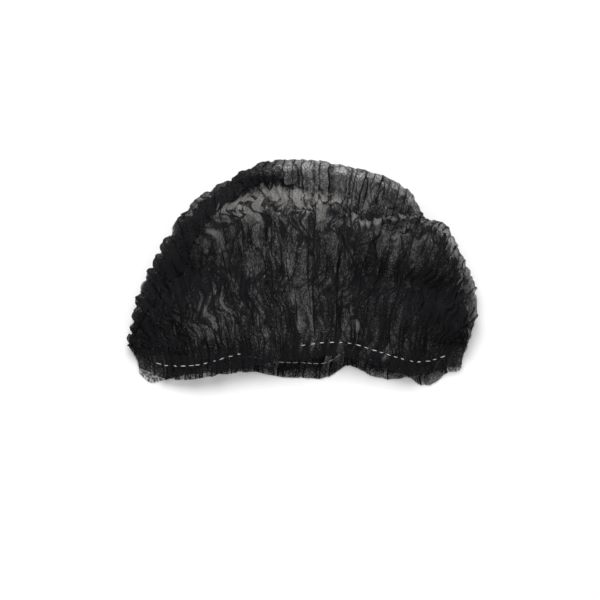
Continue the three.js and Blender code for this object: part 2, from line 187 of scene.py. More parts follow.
# Where the cloth lies thicker or thinner than usual: the part of the sheet, then in plan shares from
# the middle and the front the centre and half sizes, the turn in degrees, how many times denser it is
# there, and how much more streaky. A point's height counts as some depth, as it does to the camera.
SEEN_SLOPE = 0.105
PATCHES = (
    ("front", -0.33, 0.45, 0.19, 0.075, 5, 4.0, 0.0),
    ("front", -0.42, 0.28, 0.07, 0.16, -5, 2.4, 0.2),
    ("front", -0.16, 0.78, 0.12, 0.08, 25, 0.3, -0.2),
    ("front", -0.02, 0.82, 0.12, 0.05, -10, 0.35, 0.1),
    ("front", -0.115, 0.81, 0.12, 0.04, 15, 0.3, -0.1),
    ("back", -0.115, 0.81, 0.13, 0.045, 15, 0.4, 0.0),
    ("front", -0.25, 0.6, 0.05, 0.08, 40, 0.38, 0.3),
    ("front", -0.1, 0.56, 0.13, 0.1, 0, 0.6, 0.0),
    ("front", -0.04, 0.73, 0.09, 0.05, -10, 0.5, 0.2),
    ("front", 0.06, 0.23, 0.04, 0.08, 0, 1.5, 0.0),
    ("front", -0.255, 0.3, 0.075, 0.13, -15, 0.34, 0.0),
    ("back", -0.255, 0.3, 0.06, 0.1, -15, 0.5, 0.0),
    ("front", 0.12, 0.24, 0.25, 0.1, 0, 1.4, 0.5),
    ("front", 0.07, 0.28, 0.1, 0.12, 0, 1.1, 0.3),
    ("front", 0.275, 0.655, 0.1, 0.045, -18, 0.42, 0.2),
    ("front", 0.3, 0.42, 0.17, 0.12, -10, 1.8, 0.0),
    ("front", 0.19, 0.46, 0.13, 0.05, 0, 1.6, 0.0),
    ("front", 0.4, 0.36, 0.07, 0.22, 12, 3.5, 0.0),
    ("front", 0.0, 0.12, 0.5, 0.08, 0, 2.0, 0.4),
    ("front", 0.25, 0.54, 0.09, 0.04, -8, 2.0, 0.0),
    ("all", 0.048, 0.825, 0.075, 0.014, -11, 0.3, 0.0),
    ("all", 0.025, 0.772, 0.05, 0.024, -32, 0.35, 0.0),
    ("all", 0.125, 0.719, 0.065, 0.012, -5, 0.35, 0.0),
    ("fold", 0.12, 0.775, 0.06, 0.025, -15, 2.0, 0.0),
    ("fold", 0.1, 0.88, 0.17, 0.11, -20, 0.6, 0.0),
    ("back", 0.1, 0.88, 0.17, 0.11, -20, 0.5, 0.0),
    ("fold", 0.23, 0.74, 0.14, 0.05, -8, 3.0, 0.0),
    ("fold", 0.0, 0.98, 0.07, 0.04, 0, 0.6, 0.0),
    ("fold", -0.075, 0.87, 0.04, 0.06, 0, 0.5, 0.0),
    ("back", -0.12, 0.78, 0.17, 0.08, 10, 0.35, 0.0),
    ("back", 0.28, 0.63, 0.1, 0.07, 0, 0.35, 0.0),
    ("back", 0.36, 0.3, 0.08, 0.16, 0, 1.5, 0.0),
    ("back", 0.0, 0.092, 0.5, 0.03, 0, 2.2, 0.2),
)


def columns_of(table, names):
    """A table's columns as arrays, by name."""
    return dict(zip(names, np.array(table).T))


def spline(values, place):
    """Smooth values at places that run from 0 to 1 over the rows of an array."""
    values = np.asarray(values, float)
    last = len(values) - 1
    spot = np.clip(place, 0, 1) * last
    left = np.minimum(np.floor(spot).astype(int), last - 1)
    past = (spot - left).reshape((-1,) + (1,) * (values.ndim - 1))
    before, start, end, after = (values[np.clip(left + step, 0, last)] for step in (-1, 0, 1, 2))
    slope, end_slope = (end - before) / 2, (after - start) / 2
    cubic = 2 * start - 2 * end + slope + end_slope
    square = -3 * start + 3 * end - 2 * slope - end_slope
    return cubic * past**3 + square * past**2 + slope * past + start


def noise(x, y, seed):
    """Smooth noise between -1 and 1, with one bump for each unit of x and y."""
    size = 256
    lattice = np.random.default_rng(seed).uniform(-1, 1, (size, size))
    x, y = np.broadcast_arrays(np.asarray(x, float), np.asarray(y, float))
    left, low = np.floor(x).astype(int), np.floor(y).astype(int)
    right, up = x - left, y - low
    right, up = right * right * (3 - 2 * right), up * up * (3 - 2 * up)

    def corner(column, row):
        return lattice[(left + column) % size, (low + row) % size]

    bottom = corner(0, 0) * (1 - right) + corner(1, 0) * right
    top = corner(0, 1) * (1 - right) + corner(1, 1) * right
    return bottom * (1 - up) + top * up


# Middle surface of the cap

def fold_share(plan):
    """The share of the height that the long folds leave at plan points."""
    share = np.ones(plan.shape[:-1])
    for from_x, from_y, to_x, to_y, drop, reach in FOLDS:
        start = np.array((from_x * PLAN_WIDTH, from_y * PLAN_DEPTH))
        way = np.array((to_x * PLAN_WIDTH, to_y * PLAN_DEPTH)) - start
        t = np.clip((plan - start) @ way / (way @ way), 0, 1)
        away = np.linalg.norm(plan - start - t[..., None] * way, axis=-1)
        share *= 1 - drop * np.exp(-((away / (reach * PLAN_DEPTH)) ** 2))
    return share


class Ribs:
    """The plan lines of one sheet's ribs, from its hem to the crest."""

    def __init__(self, side, across):
        cut = columns_of(SECTIONS, SECTION_COLUMNS)
        hem = np.stack((cut["hem_x"] * PLAN_WIDTH, cut[side + "_hem_y"] * PLAN_DEPTH), -1)
        crest = np.stack((cut["crest_x"] * PLAN_WIDTH, cut["crest_y"] * PLAN_DEPTH), -1)
        hem, crest = spline(hem, across)[:, None], spline(crest, across)[:, None]
        knee = hem + (crest - hem) * np.array((RIB_LEAN, RIB_KNEE))
        t = np.linspace(0, 1, RIB_POINTS)[None, :, None]
        self.points = hem * (1 - t) ** 2 + knee * 2 * t * (1 - t) + crest * t**2
        steps = np.linalg.norm(np.diff(self.points, axis=1), axis=-1)
        self.distances = np.pad(np.cumsum(steps, axis=1), ((0, 0), (1, 0)))
        self.length = self.distances[:, -1:]
        self.rim = np.minimum(RIM_DEPTH, RIM_RIB_SHARE * self.length)

    def at(self, distance):
        """Plan points at distances from the hem: one line of distances for each rib."""
        found = np.empty(distance.shape + (2,))
        for rib, wanted in enumerate(distance):
            for axis in (0, 1):
                found[rib, :, axis] = np.interp(wanted, self.distances[rib], self.points[rib, :, axis])
        return found


def with_height(plan, height):
    """Points in space from plan points and their heights."""
    return np.concatenate((plan, np.broadcast_to(height, plan.shape[:-1])[..., None]), -1)


def rim_surface(side, across, shares):
    """Points of a rim's middle surface, at shares of its depth from the hem's edge."""
    ribs = Ribs(side, across)
    plan = ribs.at(ribs.rim * shares[None, :])
    if side == "back":
        return with_height(plan, LOWEST_BACK)
    mouth = spline(columns_of(SECTIONS, SECTION_COLUMNS)["mouth"], across)[:, None]
    return with_height(plan, LOWEST_FRONT + mouth * (MOUTH_HEIGHT - HEM_DROOP * (1 - shares[None, :])))


def crown_surface(side, across, rows):
    """Points of the crown's middle surface on one side, at that many rows along the stations."""
    table = FRONT_STATIONS if side == "front" else BACK_STATIONS
    place = np.linspace(0, 1, rows)
    station = columns_of(table, STATION_COLUMNS)
    along, rise, rim, puff = (spline(station[name], place)[None, :] for name in STATION_COLUMNS)
    along = np.clip(along, 0, 1)
    ribs = Ribs(side, across)
    plan = ribs.at(ribs.rim + (ribs.length - ribs.rim) * along)
    cut = columns_of(SECTIONS, SECTION_COLUMNS)
    loft, mouth = (spline(cut[name], across)[:, None] for name in ("loft", "mouth"))
    step = np.linspace(0, 1, rows)[None, :]
    lowest = LOWEST_FRONT
    if side == "back":
        lowest = LOWEST_BACK + (LOWEST_FRONT - LOWEST_BACK) * np.clip(1 - BACK_DROP * step, 0, 1)
    height = lowest + rise * loft * BELLY_LOFT * fold_share(plan) + rim * mouth * MOUTH_HEIGHT
    return with_height(plan, height), np.broadcast_to(puff, height.shape)


ACROSS = np.linspace(0, 1, 361)
RIM_SHARES = np.linspace(0, 1, 17)
CROWN_FRONT_ROWS = 111
CROWN_BACK_ROWS = 61

front_rim_base = rim_surface("front", ACROSS, RIM_SHARES)
crown_front_base, front_puff = crown_surface("front", ACROSS, CROWN_FRONT_ROWS)
crown_back_base, back_puff = crown_surface("back", ACROSS, CROWN_BACK_ROWS)
back_rim_base = rim_surface("back", ACROSS, RIM_SHARES[::-1])
rim_puff = np.full(front_rim_base.shape[:2], RIM_PUFF)

# One surface from hem to hem. Neighbouring parts share a row.
base_parts = (front_rim_base, crown_front_base[:, 1:], crown_back_base[:, 1:], back_rim_base[:, 1:])
puff_parts = (rim_puff, front_puff[:, 1:], back_puff[:, 1:], 0 * rim_puff[:, 1:])
base = np.concatenate(base_parts, 1)
puff = np.concatenate(puff_parts, 1)


def row_slices(counts):
    """The rows of each part of the sheet, in order, where neighbours share a row."""
    first, slices = 0, {}
    for part, count in counts:
        slices[part] = slice(first, first + count)
        first += count - 1
    return slices


BASE_ROWS = row_slices(
    (
        ("front_rim", len(RIM_SHARES)),
        ("crown_front", CROWN_FRONT_ROWS),
        ("crown_back", CROWN_BACK_ROWS),
        ("back_rim", len(RIM_SHARES)),
    )
)

# The frame's origin is below the middle of the cap.
Y_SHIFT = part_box("back_rim")[0][1] / MM - back_rim_base[..., 1].min()
base[..., 0] -= (base[..., 0].min() + base[..., 0].max()) / 2
base[..., 1] += Y_SHIFT


def directions(surface):
    """Unit vectors across, along and out of a surface."""
    across = np.gradient(surface, axis=0)
    along = np.gradient(surface, axis=1)
    out = np.cross(across, along)
    ways = (across, along, out)
    return tuple(way / np.maximum(np.linalg.norm(way, axis=-1, keepdims=True), 1e-9) for way in ways)


# Wider swellings that take in two or three pleats. They wander, lean a little from row to row, and are
# strong at the left and weak at the right. The bulge moves the whole sheet out, or in where it is below 0.
SWELL_WANDER = 1.1
SWELL_LEAN = 0.015
SWELL_HEIGHT = 1.6
SWELL_POWER = 0.8
SWELL_SINK = 1.2
SWELL_UNEVEN = 0.6
SWELL_PLACES = (0, 0.35, 0.42, 1)
SWELL_STRENGTHS = (1.2, 1.2, 0.35, 0.35)
BULGE_PLACES = (0.15, 0.26, 0.34, 0.4, 0.5, 0.62, 0.67, 0.71, 0.76)
BULGES = (-0.3, 1.3, 1.2, -0.6, -0.3, 0.3, 1.8, 1.8, 0.0)

row_number = np.arange(base.shape[1])[None, :]
shifted = SWELL_WANDER * noise(ACROSS[:, None] * 13, row_number / 60, seed=15)
swell_phase = 2 * math.pi * PUFF_COUNT * ACROSS[:, None] + shifted + SWELL_LEAN * row_number
swell = SWELL_HEIGHT * np.abs(np.sin(swell_phase)) ** SWELL_POWER - SWELL_SINK
swell *= np.interp(ACROSS, SWELL_PLACES, SWELL_STRENGTHS)[:, None]
uneven = noise(ACROSS[:, None] * 2.1 * PUFF_COUNT, row_number / 22, seed=11)
bulge = np.interp(ACROSS, BULGE_PLACES, BULGES)[:, None]
swell = PUFF_DEPTH / 2 * puff * (swell + SWELL_UNEVEN * uneven + bulge)
base = base + directions(base)[2] * swell[..., None]
along_way, out_way = directions(base)[1:]

# Cloth

FIRST_LAYER_ROWS = 101
TURN_ROWS = 15
LAST_LAYER_ROWS = 45
CLOTH_ROWS = row_slices(
    (
        ("front_rim", len(RIM_SHARES)),
        ("crown_front", FIRST_LAYER_ROWS),
        ("crown_fold", TURN_ROWS + LAST_LAYER_ROWS - 1),
        ("crown_back", CROWN_BACK_ROWS),
        ("back_rim", len(RIM_SHARES)),
    )
)
ROW_COUNT = CLOTH_ROWS["back_rim"].stop
FIRST_LAYER_SHARES = np.linspace(0, 1, FIRST_LAYER_ROWS)
TUCKED_ROWS = slice(CLOTH_ROWS["crown_front"].start, CLOTH_ROWS["crown_fold"].stop)
cloth_column = np.arange(CLOTH_COLUMNS + 1)[:, None] / CLOTH_COLUMNS


def smooth_over(values, width, axis=0):
    """A moving average over columns or rows."""
    values = np.moveaxis(values, axis, 0)
    padded = np.pad(values, ((width, width), (0, 0)), mode="edge")
    total = np.cumsum(np.pad(padded, ((1, 0), (0, 0))), axis=0)
    mean = (total[2 * width + 1 :] - total[: -2 * width - 1]) / (2 * width + 1)
    return np.moveaxis(mean[: len(values)], 0, axis)


base_steps = np.linalg.norm(np.diff(base, axis=0), axis=-1)
base_length = base_steps.sum(0)
base_share = np.pad(np.cumsum(base_steps, axis=0), ((1, 0), (0, 0))) / base_length
# The row of the middle surface that the tuck lies near
TUCK_BASE_ROW = BASE_ROWS["crown_front"].start + 75
cloth_across = np.interp(cloth_column, base_share[:, TUCK_BASE_ROW], ACROSS)
tuck = columns_of(TUCK, TUCK_COLUMNS)
tuck = {name: np.interp(cloth_across, tuck["across"], tuck[name]) for name in TUCK_COLUMNS}


# Mean length of the crown's ribs, and how the tuck's edges wave: with each pleat, unevenly and in
# wider waves.
CROWN_RIB = 150.0
STATION_SAMPLES = np.linspace(0, 1, 401)
EDGE_SCALLOP = 0.9
EDGE_UNEVEN = 0.9
EDGE_WIDER = 0.8


def ragged_edge():
    """How far the tuck's edges reach past their smooth line in each column, as a share of the ribs."""
    pleat_phase = cloth_column * PLEATS + 0.3 * noise(cloth_column * 30, 0.5, seed=12)
    scallop = np.abs(np.sin(math.pi * pleat_phase)) - 0.6
    uneven = noise(cloth_column * PLEATS * 0.9, 0.5, seed=13)
    wider = noise(cloth_column * PLEATS * 0.25, 0.5, seed=14)
    return TUCK_RAGGED * (EDGE_SCALLOP * scallop + EDGE_UNEVEN * uneven + EDGE_WIDER * wider)


def tucked_rows():
    """For each point of the cloth the row of the middle surface under it, the layer it lies in, and how
    far past the tuck's outer edge it is."""
    ragged = ragged_edge()
    inner = tuck["inner"] - ragged
    outer = tuck["outer"] + ragged
    station_along = spline(columns_of(FRONT_STATIONS, STATION_COLUMNS)["along"], STATION_SAMPLES)
    along_outer = outer
    inner, outer = (np.interp(edge, station_along, STATION_SAMPLES) for edge in (inner, outer))
    up = FIRST_LAYER_SHARES[None, :]
    back = np.linspace(0, 1, TURN_ROWS)[None, 1:]
    again = np.linspace(0, 1, LAST_LAYER_ROWS)[None, 1:]
    place = np.concatenate((outer * up, outer + (inner - outer) * back, inner + (1 - inner) * again), 1)
    near_first = np.exp(-CROWN_RIB * (outer - outer * up) / TUCK_SLOPE)
    near_last = np.exp(-CROWN_RIB * ((1 - inner) * again) / (1.6 * TUCK_SLOPE))
    layer = np.concatenate((-near_first, 2 * back - 1 + 0 * inner, near_last), 1) * tuck["over"]
    layer *= np.concatenate((np.ones_like(up), np.ones_like(back), 1 - again**4), 1)
    place = smooth_over(place, 1, axis=1)
    layer = smooth_over(layer, 1, axis=1)
    place[:, 0], place[:, -1] = 0, 1
    rows = BASE_ROWS["crown_front"].start + place * (CROWN_FRONT_ROWS - 1)
    spot = np.empty((len(cloth_column), ROW_COUNT))
    spot[:, CLOTH_ROWS["front_rim"]] = np.arange(len(RIM_SHARES))
    spot[:, TUCKED_ROWS] = rows
    spot[:, CLOTH_ROWS["crown_back"]] = np.arange(*BASE_ROWS["crown_back"].indices(len(base[0])))
    spot[:, CLOTH_ROWS["back_rim"]] = np.arange(*BASE_ROWS["back_rim"].indices(len(base[0])))
    layers = np.zeros_like(spot)
    layers[:, TUCKED_ROWS] = layer
    beyond = np.zeros_like(spot)
    along = np.interp(place, STATION_SAMPLES, station_along)
    beyond[:, TUCKED_ROWS] = CROWN_RIB * (along - along_outer)
    return spot, layers, beyond


row_spot, layer, beyond_tuck = tucked_rows()

# How far along the cloth each of its rows is, in millimetres. In the calls of noise below, a column is
# multiplied by the number of bumps across the cap, and a row's place is divided by a bump's length.
base_row_steps = np.linalg.norm(np.diff(base, axis=1), axis=-1).mean(0)
base_row_place = np.pad(np.cumsum(base_row_steps), (1, 0))
row_place = np.interp(row_spot.mean(0), np.arange(len(base_row_place)), base_row_place)
row_place = np.pad(np.cumsum(np.abs(np.diff(row_place))), (1, 0))[None, :]


# How hard the cloth folds, in radians: at the front elastic, in the tuck, at the crest's back and at the
# back elastic, and how much that changes over the crown.
FRONT_RIM_FOLD = 2.9
TUCK_FOLD = 3.2
CREST_FOLD = 1.9
BACK_RIM_FOLD = 2.8
CROWN_FOLD_CHANGE = 0.9

# The cloth's pleats, in pleats for their wandering and width, which is TUCK_NARROWING times as much in the
# last layer. A pleat falls to the other side where its noise is over PLEAT_SIDES. The others are strengths.
PLEAT_WANDER = 0.3
PLEAT_WIDTH = 0.16
PLEAT_WIDTH_CHANGE = 0.06
TUCK_NARROWING = 0.65
PLEAT_SIZE = 0.8
PLEAT_SIZE_CHANGE = 0.55
PLEAT_SIDES = 0.35
RIPPLE = 0.35
RIPPLES_PER_PLEAT = 1.7
CRUMPLE = 0.45
BELLY_CRUMPLE = 0.5
SLANTED_CREASES = 0.3

# How straight the pleats run, where 1 is along the ribs: in general, at the front rim, and how much less
# in the belly.
STRAIGHT = 0.85
RIM_STRAIGHT = 0.9
BELLY_BEND = 0.6


def fold_strength():
    """How hard the cloth folds on each row: most in the tuck and at the elastics, least at the crest."""
    strength = np.empty(ROW_COUNT)
    strength[CLOTH_ROWS["front_rim"]] = FRONT_RIM_FOLD
    strength[CLOTH_ROWS["crown_front"]] = FRONT_RIM_FOLD - CROWN_FOLD_CHANGE * FIRST_LAYER_SHARES**0.7
    strength[CLOTH_ROWS["crown_fold"]] = TUCK_FOLD
    strength[CLOTH_ROWS["crown_back"]] = CREST_FOLD + CROWN_FOLD_CHANGE * np.linspace(0, 1, CROWN_BACK_ROWS)
    strength[CLOTH_ROWS["back_rim"]] = BACK_RIM_FOLD
    return strength[None, :]


def cloth_angles():
    """The angle of the cloth to its middle surface, for each column and row."""
    wander = PLEAT_WANDER * noise(cloth_column * PLEATS * 0.4, row_place / 55, seed=21)
    phase = cloth_column * PLEATS + wander
    pleat = np.floor(phase)
    spot = phase - pleat
    width = PLEAT_WIDTH + PLEAT_WIDTH_CHANGE * noise(pleat * 1.37 + 0.5, row_place / 30, seed=22)
    width[:, CLOTH_ROWS["crown_fold"]] *= TUCK_NARROWING
    size = PLEAT_SIZE + PLEAT_SIZE_CHANGE * noise(pleat * 0.83 + 0.5, row_place / 20, seed=23)
    side = np.where(noise(pleat * 1.91 + 0.5, 0.5, seed=24) < PLEAT_SIDES, 1, -1)
    fold = side * size * np.exp(-(((spot - 0.5) / width) ** 2))
    turned = 2 * noise(pleat, row_place / 25, seed=25)
    ripple = RIPPLE * np.sin(2 * math.pi * RIPPLES_PER_PLEAT * phase + turned)
    crumpled = np.full(ROW_COUNT, CRUMPLE)
    crumpled[CLOTH_ROWS["crown_front"]] += BELLY_CRUMPLE * np.sin(math.pi * FIRST_LAYER_SHARES)
    crumple = crumpled[None, :] * noise(cloth_column * PLEATS * 2.1, row_place / 10, seed=26)
    slanted_place = cloth_column * PLEATS * 1.1 + row_place / 30
    slanted = SLANTED_CREASES * noise(slanted_place, row_place / 30, seed=27)
    return fold_strength() * fold + ripple + crumple + slanted


def straightness():
    """How straight the pleats run on each row: most at the rims and in the lobe, least in the belly."""
    straight = np.full(ROW_COUNT, STRAIGHT)
    belly = np.sin(math.pi * np.clip(FIRST_LAYER_SHARES * 1.05, 0, 1)) ** 0.6
    straight[CLOTH_ROWS["crown_front"]] = RIM_STRAIGHT - BELLY_BEND * belly
    return straight[None, :]


angles = cloth_angles()
reach = np.cumsum(np.cos(angles), axis=0)
stand = np.cumsum(np.sin(angles), axis=0)
reach -= reach[:1]
mean_spot = row_spot.mean(0)
row_length = np.interp(mean_spot, np.arange(len(base_length)), base_length)[None, :]
scale = row_length / reach[-1:]

# Folds are heights over the sheet's mean, and pleats drift sideways. Both means take in this many pleats
# to either side.
FOLD_MEAN = 0.6
DRIFT_MEAN = 2.5
stand = (stand - smooth_over(stand, round(FOLD_MEAN * CLOTH_COLUMNS / PLEATS))) * scale

# Shares of the width by true length on each row, so that the cloth's folds keep their size
share = reach / reach[-1:]
drift = smooth_over(share - cloth_column, round(DRIFT_MEAN * CLOTH_COLUMNS / PLEATS))
share = np.clip(share - straightness() * (drift - drift.mean(1, keepdims=True)), 0, 1)
share[0], share[-1] = 0, 1
for row in range(share.shape[1]):
    share[:, row] = np.interp(share[:, row], base_share[:, round(mean_spot[row])], ACROSS)


def on_base(values):
    """Values of the middle surface under each point of the cloth."""
    column = share * (values.shape[0] - 1)
    left = np.minimum(column.astype(int), values.shape[0] - 2)
    low = np.minimum(row_spot.astype(int), values.shape[1] - 2)
    x, y = (column - left)[..., None], (row_spot - low)[..., None]
    near = values[left, low] * (1 - x) + values[left + 1, low] * x
    far = values[left, low + 1] * (1 - x) + values[left + 1, low + 1] * x
    return near * (1 - y) + far * y


# The folds' greatest height, the crinkles, the slip along the ribs and the cloth's lowest place are in
# millimetres. The folds are lower in the back sheet, from some rows past the crest, and at the crest.
FOLD_LIMIT = 3.4
CRINKLE = 0.25
SLIP = 0.7
LOWEST_CLOTH = 0.25
BACK_FOLDS_LEFT = 0.8
BACK_FOLDS_FROM = 6
CREST_FOLDS_LOST = 0.55
CREST_ROWS = 9

crinkle = noise(cloth_column * 150, row_place / 4, seed=31)
slip = noise(cloth_column * 60, row_place / 6, seed=32)
crest_row = CLOTH_ROWS["crown_back"].start
from_crest_row = np.arange(ROW_COUNT) - crest_row
fold_share_left = np.ones(ROW_COUNT)
fold_share_left[crest_row + BACK_FOLDS_FROM :] = BACK_FOLDS_LEFT
fold_share_left *= 1 - CREST_FOLDS_LOST * np.exp(-((from_crest_row / CREST_ROWS) ** 2))
folds = FOLD_LIMIT * np.tanh(stand / FOLD_LIMIT) * fold_share_left[None, :]
lift = folds + CRINKLE * crinkle + TUCK_LAYER_GAP * layer
cloth = on_base(base) + on_base(out_way) * lift[..., None]
cloth += on_base(along_way) * (SLIP * slip)[..., None]
cloth[..., 2] = np.maximum(cloth[..., 2], LOWEST_CLOTH)


# Density of the cloth

PATCH_ROWS = {
    "front": slice(0, CLOTH_ROWS["crown_front"].stop - 1),
    "fold": CLOTH_ROWS["crown_fold"],
    "back": slice(CLOTH_ROWS["crown_back"].start + 1, ROW_COUNT),
    "all": slice(0, ROW_COUNT),
}


# Sharp dark lines that every second pleat has, in the lobe and near the tuck, and closer ones below the
# lobe at the right. Widths are in pleats, and strengths are extra density.
LINE_WIDTH = 0.05
CLOSE_LINE_WIDTH = 0.14
LOBE_LINES = 3.0
TUCK_LINES = 2.5
CLOSE_LINES = 4.0
LINES_FROM, LINES_FULL = 0.4, 0.47
CLOSE_LINE_REACH = (-45.0, -25.0, 0.0)
CLOSE_LINE_PLACES = (0.66, 0.72, 0.86, 0.92)
CLOSE_LINE_SHARES = (0.0, 1.0, 1.0, 0.0)


def pleat_lines():
    """Extra density along the dark lines of the pleats."""
    phase = cloth_column * PLEATS * 0.5 + 0.35 * noise(cloth_column * 40, row_place / 60, seed=62)
    line = np.floor(phase)
    near = np.exp(-(((phase - line - 0.5) / LINE_WIDTH) ** 2))
    strength = np.clip(0.8 + 0.6 * noise(line * 1.37 + 0.5, row_place / 40, seed=63), 0, 1.4)
    shown = np.zeros(ROW_COUNT)
    shown[CLOTH_ROWS["crown_fold"]] = LOBE_LINES
    near_tuck = np.clip(np.linspace(-2.0, 3.0, FIRST_LAYER_ROWS), 0, 1)
    shown[CLOTH_ROWS["crown_front"]] = TUCK_LINES * near_tuck
    right_part = np.interp(cloth_across, (LINES_FROM, LINES_FULL), (0.0, 1.0))
    lines = shown[None, :] * right_part * near * strength
    twice = 2 * phase - np.floor(2 * phase)
    close_part = np.interp(cloth_across, CLOSE_LINE_PLACES, CLOSE_LINE_SHARES)
    close = CLOSE_LINES * close_part * np.exp(-(((twice - 0.5) / CLOSE_LINE_WIDTH) ** 2))
    up = np.interp(beyond_tuck, CLOSE_LINE_REACH, (0.0, 1.0, 1.0))
    lines[:, CLOTH_ROWS["crown_front"]] += (close * up)[:, CLOTH_ROWS["crown_front"]]
    return lines


# How streaky the cloth is, also in the lobe, which starts this far across the cap, and how ragged the
# edges of its patches are, in millimetres. Small patches and the thinnest ones have less ragged edges.
STREAKY = 0.45
LOBE_STREAKY = 0.2
LOBE_FROM, LOBE_FULL = 0.36, 0.46
RAGGED_X = 4.0
RAGGED_Y = 9.0
RAGGED_SIZE = 10
THIN_PATCH = 0.33
THIN_RAGGED = 0.35

# Where the first layer lies on top, its edge and the hidden part of the last layer have these shares of
# their usual density. The edge's width is in millimetres.
EDGE_DENSITY = 0.15
EDGE_WIDTH = 6
HIDDEN_DENSITY = 0.2

# The last layer's density goes on past the crest for this share of the back sheet. The front rim and the
# first layer are a little thinner than the rest.
CREST_REACH = 0.25
FRONT_THINNING = 0.05

# Thin tips of the puffs at the crest: their strength, how many rows they take, and where across the cap
TIP_THINNING = 3.5
TIP_ROWS = 7
TIP_PLACES = (0.3, 0.38, 0.72, 0.8)
TIP_SHARES = (1.0, 0.0, 0.0, 0.8)


def patch_share(rows, x, y, half_x, half_y, turn, ragged_x, ragged_y):
    """How far each point of some rows lies in a patch: 1 in its middle and 0 outside."""
    dx = cloth[:, rows, 0] + ragged_x[:, rows] - x * PLAN_WIDTH
    seen_y = cloth[:, rows, 1] + SEEN_SLOPE * cloth[:, rows, 2]
    dy = seen_y + ragged_y[:, rows] - (y * PLAN_DEPTH + Y_SHIFT)
    cosine, sine = math.cos(math.radians(turn)), math.sin(math.radians(turn))
    across = (dx * cosine + dy * sine) / (half_x * PLAN_WIDTH)
    along = (-dx * sine + dy * cosine) / (half_y * PLAN_DEPTH)
    return np.exp(-(across**2 + along**2) ** 2)


def cloth_layering():
    """How many times denser than usual the cloth lies at each of its points."""
    fold, back = CLOTH_ROWS["crown_fold"], CLOTH_ROWS["crown_back"]
    dense = np.zeros(cloth.shape[:-1])
    streaky = np.full(cloth.shape[:-1], STREAKY)
    streaky[:, fold.start :] = np.interp(cloth_across, (LOBE_FROM, LOBE_FULL), (STREAKY, LOBE_STREAKY))
    ragged_x = RAGGED_X * noise(cloth_column * 90, row_place / 14, seed=51)
    ragged_y = RAGGED_Y * noise(cloth_column * 75, row_place / 40, seed=52)
    for part, x, y, half_x, half_y, turn, times, streaks in PATCHES:
        rows = PATCH_ROWS[part]
        ragged = min(1.0, min(half_x * PLAN_WIDTH, half_y * PLAN_DEPTH) / RAGGED_SIZE)
        ragged *= 1.0 if times > THIN_PATCH else THIN_RAGGED
        near = patch_share(rows, x, y, half_x, half_y, turn, ragged * ragged_x, ragged * ragged_y)
        dense[:, rows] += math.log(times) * near
        streaky[:, rows] += streaks * near
    dense[:, fold] += np.log(tuck["last"])
    down_back = np.linspace(0, 1, CROWN_BACK_ROWS)[None, :]
    dense[:, back] += np.log(tuck["last"]) * np.exp(-((down_back / CREST_REACH) ** 4))
    dense[:, : fold.start] -= FRONT_THINNING
    edge_on_top = np.clip(-tuck["over"], 0, 1)
    first = CLOTH_ROWS["crown_front"]
    near_edge = np.exp(-((beyond_tuck[:, first] / EDGE_WIDTH) ** 4))
    dense[:, first] += math.log(EDGE_DENSITY) * edge_on_top * near_edge
    hidden = np.clip(0.5 - beyond_tuck[:, fold] / 2, 0, 1)
    dense[:, fold] += math.log(HIDDEN_DENSITY) * edge_on_top * hidden
    streaks = noise(cloth_column * 66, row_place / 20, seed=53)
    streaks += 0.9 * noise(cloth_column * 150, row_place / 8, seed=54)
    streaks += 0.8 * noise(cloth_column * 26, row_place / 30, seed=55)
    from_crest = from_crest_row[None, :]
    puff_tips = np.clip(0.25 + noise(cloth_column * 60, from_crest / 9, seed=56), 0, 1)
    puff_tips = puff_tips * np.exp(-((from_crest / TIP_ROWS) ** 2))
    dense -= TIP_THINNING * puff_tips * np.interp(cloth_across, TIP_PLACES, TIP_SHARES)
    return np.exp(dense + streaky * streaks) + pleat_lines()


# The cloth looks no thinner than THINNEST. Where its density is under the second limit it lies single and
# stretched, and a pale grey is painted into its colour there: painted light, standing in for the light that
# shines through thin cloth.
THINNEST = 0.62
PAINTED_LIGHT_BELOW = 0.4
density = cloth_layering()
layering = np.maximum(density, THINNEST)
painted_light = smooth_over(np.clip((PAINTED_LIGHT_BELOW - density) / PAINTED_LIGHT_BELOW, 0, 1), 1)


# How strongly the crease lines show away from the belly, and how much of them the cloth loses where painted
# light is on it
LOBE_CREASING = 0.3
PAINTED_LIGHT_CREASE_LOSS = 0.75


def cloth_creasing():
    """How strongly the crease lines show: most in the belly, little in the lobe, and more where the
    cloth is dense."""
    amount = np.zeros(ROW_COUNT)
    amount[CLOTH_ROWS["crown_front"]] = np.clip(6 * FIRST_LAYER_SHARES, 0, 1)
    amount[CLOTH_ROWS["crown_fold"]] = LOBE_CREASING
    amount[CLOTH_ROWS["crown_back"]] = LOBE_CREASING
    patchy = 0.75 + 0.5 * noise(cloth_column * 12, row_place / 30, seed=61)
    by_density = np.clip(layering, 0.02, 3) ** 0.3
    return np.clip(amount[None, :] * patchy, 0, 1) * by_density * (1 - PAINTED_LIGHT_CREASE_LOSS * painted_light)


creasing = cloth_creasing()


# Meshes

def add_object(name, data):
    """A new object of the scene."""
    obj = bpy.data.objects.new(name, data)
    bpy.context.scene.collection.objects.link(obj)
    return obj


